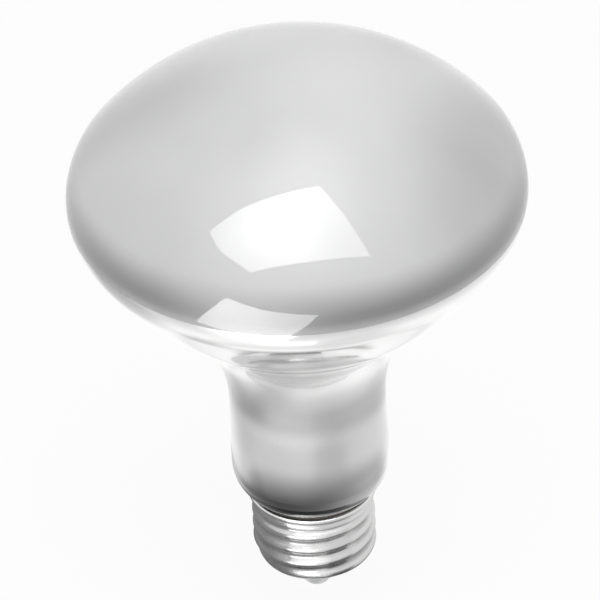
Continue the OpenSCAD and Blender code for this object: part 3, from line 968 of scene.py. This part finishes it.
def collar(name, start, end, outline, finish):
    """A card that runs round the cap from one angle to another, seen in reflections only."""
    bm = bmesh.new()
    at = bm.verts.new((outline[0][0], 0, outline[0][1]))
    for corner in outline[1:]:
        at = line_on(bm, at, corner)
    bmesh.ops.rotate(bm, verts=bm.verts, cent=(0, 0, 0),
                     matrix=Matrix.Rotation(radians(start - 90), 3, "Z"))
    bmesh.ops.spin(bm, geom=bm.verts[:] + bm.edges[:], cent=(0, 0, 0), axis=(0, 0, 1),
                   angle=radians(end - start), steps=max(1, round((end - start) / 5)))
    made = as_object(name, bm, [finish])
    only_glints(made)
    made.visible_transmission = False


def set_floor(s):
    bm = bmesh.new()
    bmesh.ops.create_circle(bm, cap_ends=True, radius=FLOOR_RADIUS, segments=96)
    ground = as_object("floor", bm, [paper("Floor paper", s.floor)])


def set_softboxes(s):
    over = [Vector((x, y, 1)) * OVERHEAD_HEIGHT + OVERHEAD_LIFT for x, y in OVERHEAD_SHARES]
    middle = Vector((-0.2, -0.5, 1)) * OVERHEAD_HEIGHT + OVERHEAD_LIFT
    only_glints(panel("softbox_above", over,
                      glowing("Softbox cloth above", s.key, middle, 0.75)))
    ceiling = panel("ceiling_panel", [(x, y, CEILING_HEIGHT) for x, y in CEILING_CORNERS],
                    glowing("Ceiling cloth", s.ceiling, (0.07, -0.4, CEILING_HEIGHT), 1.2))
    ceiling.visible_glossy = False
    only_glints(panel("softbox_front", [(x, FRONT_DEPTH, z) for x, z in FRONT_CORNERS],
                      glowing("Softbox cloth in front", s.front, (-0.08, FRONT_DEPTH, 0.09),
                              0.11)))


def set_cards(s):
    white = glowing("White card", s.stripe, (-0.02, -0.06, 0.03), 0.12)
    for name, y, low, top, left, right in WHITE_CARDS:
        corners = [(left, y, low), (left, y, top), (right, y, top), (right, y, low)]
        only_glints(panel(name, corners, white))
    high = SHELL_HIGH.z - 0.5 * MM
    for k, (start, end, low, top) in enumerate(CARDS):
        collar(f"card_{k + 1}", start, end, ((CARD_RADIUS, CARD_FOOT), (CARD_RADIUS, high)),
               card(f"Card {k + 1}", low, top))
    collar("card_lid", -180, 180, ((CARD_RADIUS, high), (LID_RADIUS, high)),
           card("Lid card", 0.8, 0.8, 0.6))


def set_surround():
    bm = bmesh.new()
    at = bm.verts.new((0, 0, SURROUND_FOOT))
    at = line_on(bm, at, (SURROUND_RADIUS, SURROUND_FOOT), 8)
    line_on(bm, at, (SURROUND_RADIUS, SURROUND_TOP), 2)
    turn_round(bm, 96)
    ring = as_object("surround", bm, [surround_cloth()])
    only_glints(ring)
    ring.visible_transmission = False


def set_room(scene, s):
    """A white room that lights the bulb evenly, at the strength of the room light."""
    world = bpy.data.worlds.new("Room")
    scene.world = world
    world.use_nodes = True
    tree = world.node_tree
    back = tree.nodes["Background"]
    level = add(tree, "MapRange", {"Value": seen_directly(tree), "To Min": s.room, "To Max": 1.0})
    tree.links.new(level.outputs["Result"], back.inputs["Strength"])
    back.inputs["Color"].default_value = (1, 1, 1, 1)


def set_camera(scene, s):
    """A long lens that looks down on the bulb and leans a little."""
    data = bpy.data.cameras.new("camera")
    data.lens, data.sensor_width, data.clip_start, data.clip_end = s.lens, 36.0, 0.05, 20.0
    camera = bpy.data.objects.new("camera", data)
    scene.collection.objects.link(camera)
    way = Vector((0, -cos(s.elevation), sin(s.elevation)))
    spot = Vector((0, 0, GLASS_HIGH.z - PIVOT_DEPTH)) + way * s.distance
    ahead = (AIM - spot).normalized()
    right = ahead.cross((0, 0, 1)).normalized()
    up = right.cross(ahead)
    tilt_right = right * cos(s.lean) - up * sin(s.lean)
    tilt_up = right * sin(s.lean) + up * cos(s.lean)
    camera.matrix_world = Matrix((tilt_right, tilt_up, -ahead)).transposed().to_4x4()
    camera.location = spot
    scene.camera = camera
    scene.view_settings.view_transform = "Standard"


class MakeStage(bpy.types.Operator):
    """Sets out the floor, the softboxes and the camera"""
    bl_idname = "reflector_bulb.make_stage"
    bl_label = "Floor, light and camera"

    def execute(self, context):
        scene, s = context.scene, context.scene.studio
        set_floor(s)
        set_softboxes(s)
        set_cards(s)
        set_surround()
        set_room(scene, s)
        set_camera(scene, s)
        return {"FINISHED"}


PIECES = (MakeGlass, MakeShell, MakeContact, MakeLeads, MakeStage)


class BulbPanel(bpy.types.Panel):
    """Lists the steps that make the bulb and its stage"""
    bl_idname = "VIEW3D_PT_reflector_bulb"
    bl_label = "Reflector bulb"
    bl_space_type = "VIEW_3D"
    bl_region_type = "UI"
    bl_category = "Bulb"

    def draw(self, context):
        for step in PIECES:
            self.layout.operator(step.bl_idname)
        for scene_name, kind in GROUPS:
            box = self.layout.box()
            for name in kind.__annotations__:
                box.prop(getattr(context.scene, scene_name), name)


GROUPS = (("bulb_sizes", BulbSizes), ("cap_sizes", CapSizes), ("bulb_finish", BulbFinish),
          ("studio", StudioSettings))


def register():
    for name, group in GROUPS:
        bpy.utils.register_class(group)
        setattr(bpy.types.Scene, name, PointerProperty(type=group))
    for step in (*PIECES, BulbPanel):
        bpy.utils.register_class(step)


def unregister():
    for step in reversed((*PIECES, BulbPanel)):
        bpy.utils.unregister_class(step)
    for name, group in reversed(GROUPS):
        delattr(bpy.types.Scene, name)
        bpy.utils.unregister_class(group)


def main():
    register()
    shared_effects()
    bpy.ops.reflector_bulb.make_glass()
    bpy.ops.reflector_bulb.make_shell()
    bpy.ops.reflector_bulb.make_contact()
    bpy.ops.reflector_bulb.make_leads()
    bpy.ops.reflector_bulb.make_stage()


if __name__ == "__main__":
    main()
